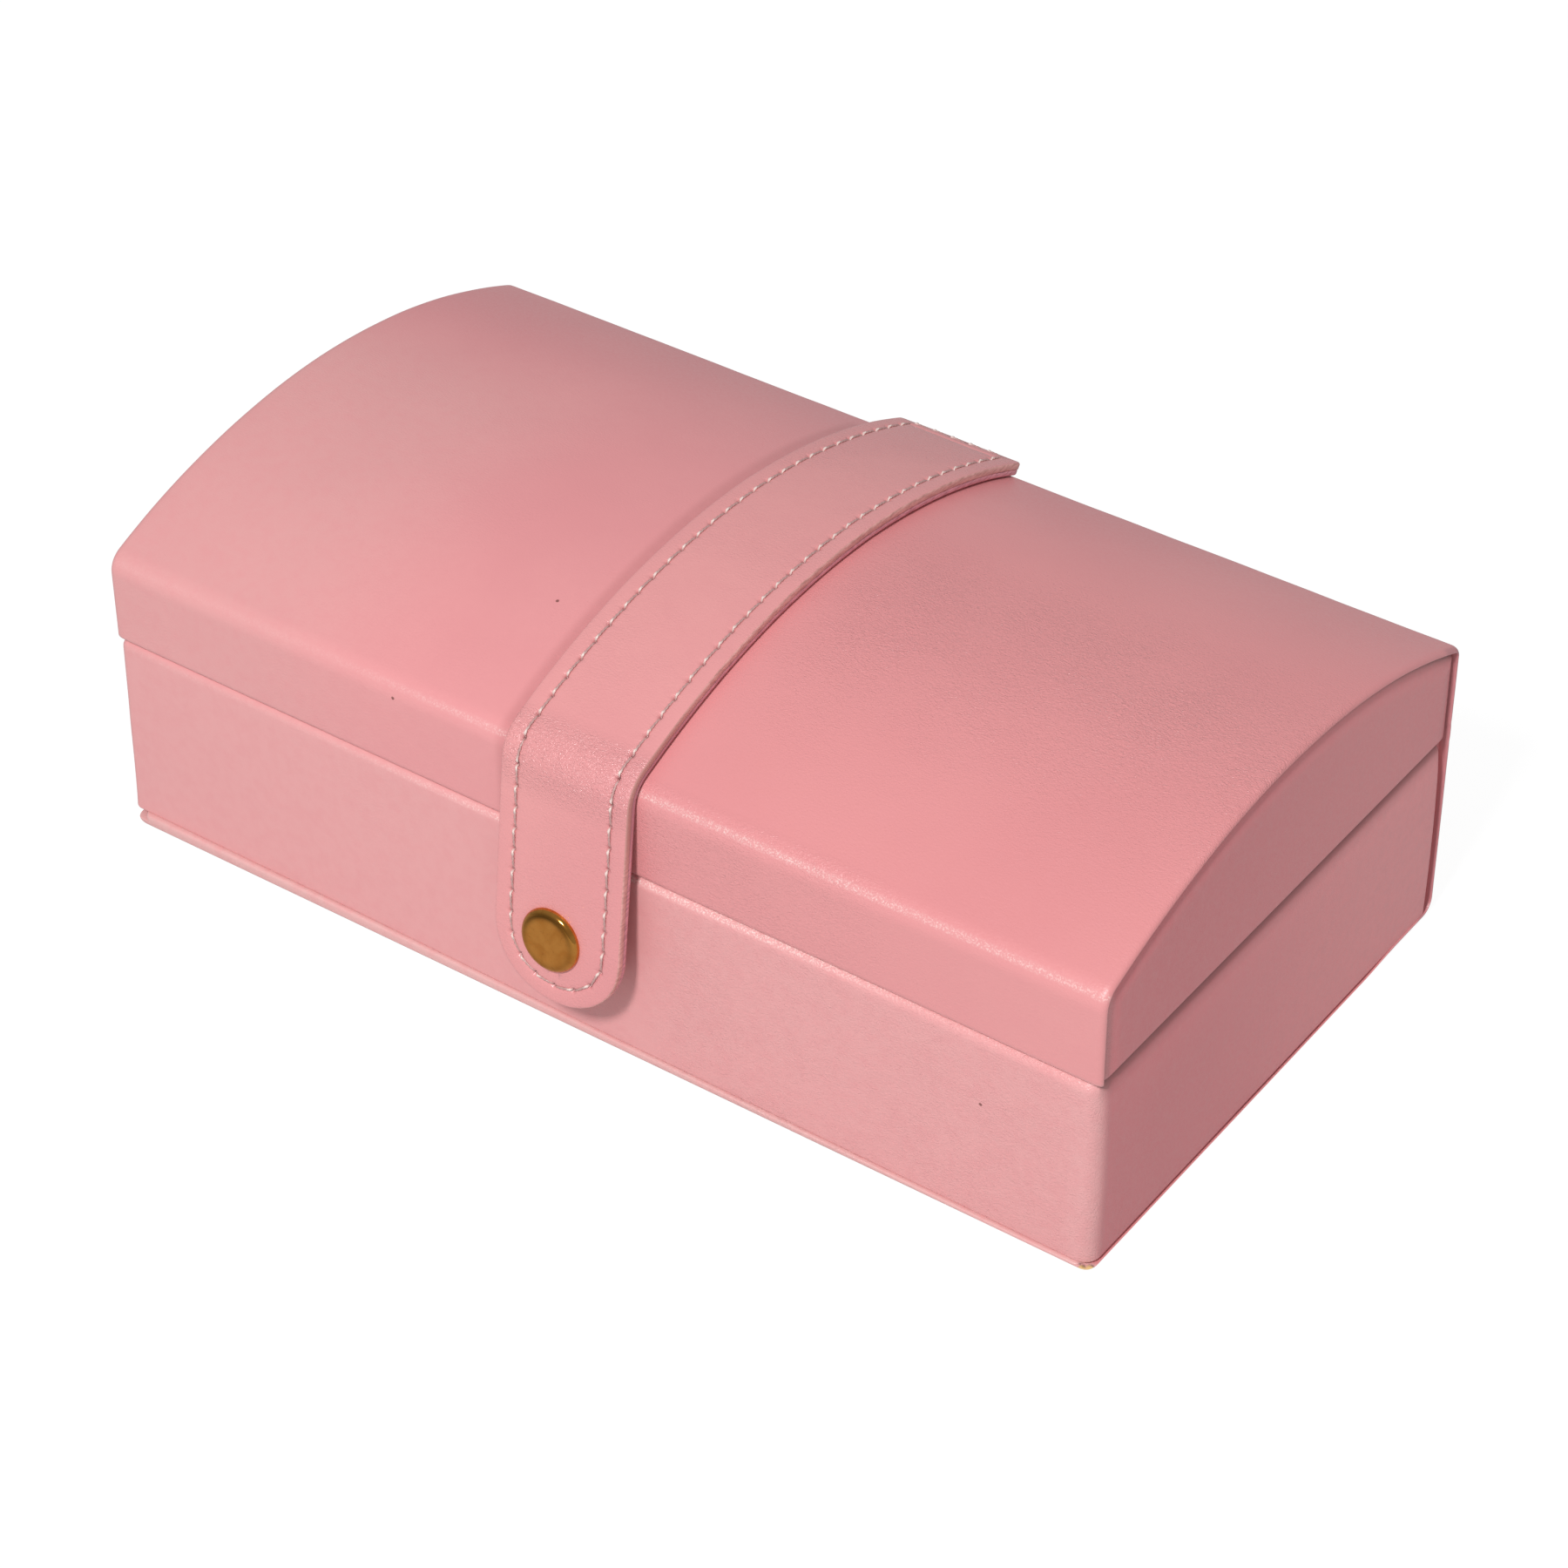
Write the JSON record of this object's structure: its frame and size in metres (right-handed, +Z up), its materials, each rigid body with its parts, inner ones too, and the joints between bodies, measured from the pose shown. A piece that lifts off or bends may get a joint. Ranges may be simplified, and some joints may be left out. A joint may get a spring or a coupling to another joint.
{
  "type": "jewellery case",
  "caption": "Rectangular leather jewellery case with an arched lid on a leather hinge, lined bays and ring rolls inside, and a strap that closes with a press stud.",
  "frame": {"origin": "centre of the underside, on the surface that the case stands on", "axes": "+X along the case's length, +Y from the front with the strap to the hinge at the back, +Z up"},
  "size_m": [0.2, 0.1189, 0.0708],
  "materials": {
    "case_leather": "satin",
    "strap_leather": "satin",
    "strap_back_leather": "matte",
    "greyboard": "matte",
    "velvet": "matte",
    "hinge_cloth": "matte",
    "thread": "satin",
    "brass": "polished",
    "mirror": "polished"
  },
  "bodies": {
    "base": {"bottom_board": "greyboard", "base_back_board": "greyboard", "base_cover_skin": "case_leather", "tray_wall_boards": "greyboard", "tray_wall_skin": "case_leather", "tray_lining": "velvet", "cross_divider": "velvet", "long_divider": "velvet", "rear_dividers": "velvet", "ring_pad": "velvet", "ring_rolls": "velvet", "hinge_tape_lower": "hinge_cloth", "press_stud": "brass", "stud_post": "brass"},
    "lid": {"lid_front_board": "greyboard", "lid_arch_board": "greyboard", "lid_back_board": "greyboard", "lid_cover_skin": "case_leather", "lid_end_board_left": "greyboard", "lid_end_board_right": "greyboard", "lid_end_skin_left": "case_leather", "lid_end_skin_right": "case_leather", "lid_rail_front": "case_leather", "lid_rail_back": "case_leather", "lid_lining": "velvet", "lid_ceiling_board": "greyboard", "mirror_frame": "velvet", "mirror": "mirror", "hinge_tape_upper": "hinge_cloth", "strap_root_face": "strap_leather", "strap_root_back": "strap_back_leather"},
    "strap_arch": {"strap_arch_face": "strap_leather", "strap_arch_back": "strap_back_leather"},
    "strap_flap": {"strap_flap_face": "strap_leather", "strap_flap_back": "strap_back_leather", "snap_cap": "brass", "snap_socket": "brass", "socket_spring": "brass"}
  },
  "joints": [
    {"name": "lid_hinge", "type": "hinge", "parent": "base", "child": "lid", "pos_m": [0, 0.05525, 0.0387], "axis": [-1, 0, 0], "range_deg": [0, 110]},
    {"name": "strap_lift", "type": "hinge", "parent": "lid", "child": "strap_arch", "pos_m": [0, 0.03409, 0.06646], "axis": [-1, 0, 0], "range_deg": [0, 60]},
    {"name": "strap_fold", "type": "hinge", "parent": "strap_arch", "child": "strap_flap", "pos_m": [0, -0.05659, 0.05745], "axis": [-1, 0, 0], "range_deg": [0, 100]}
  ]
}
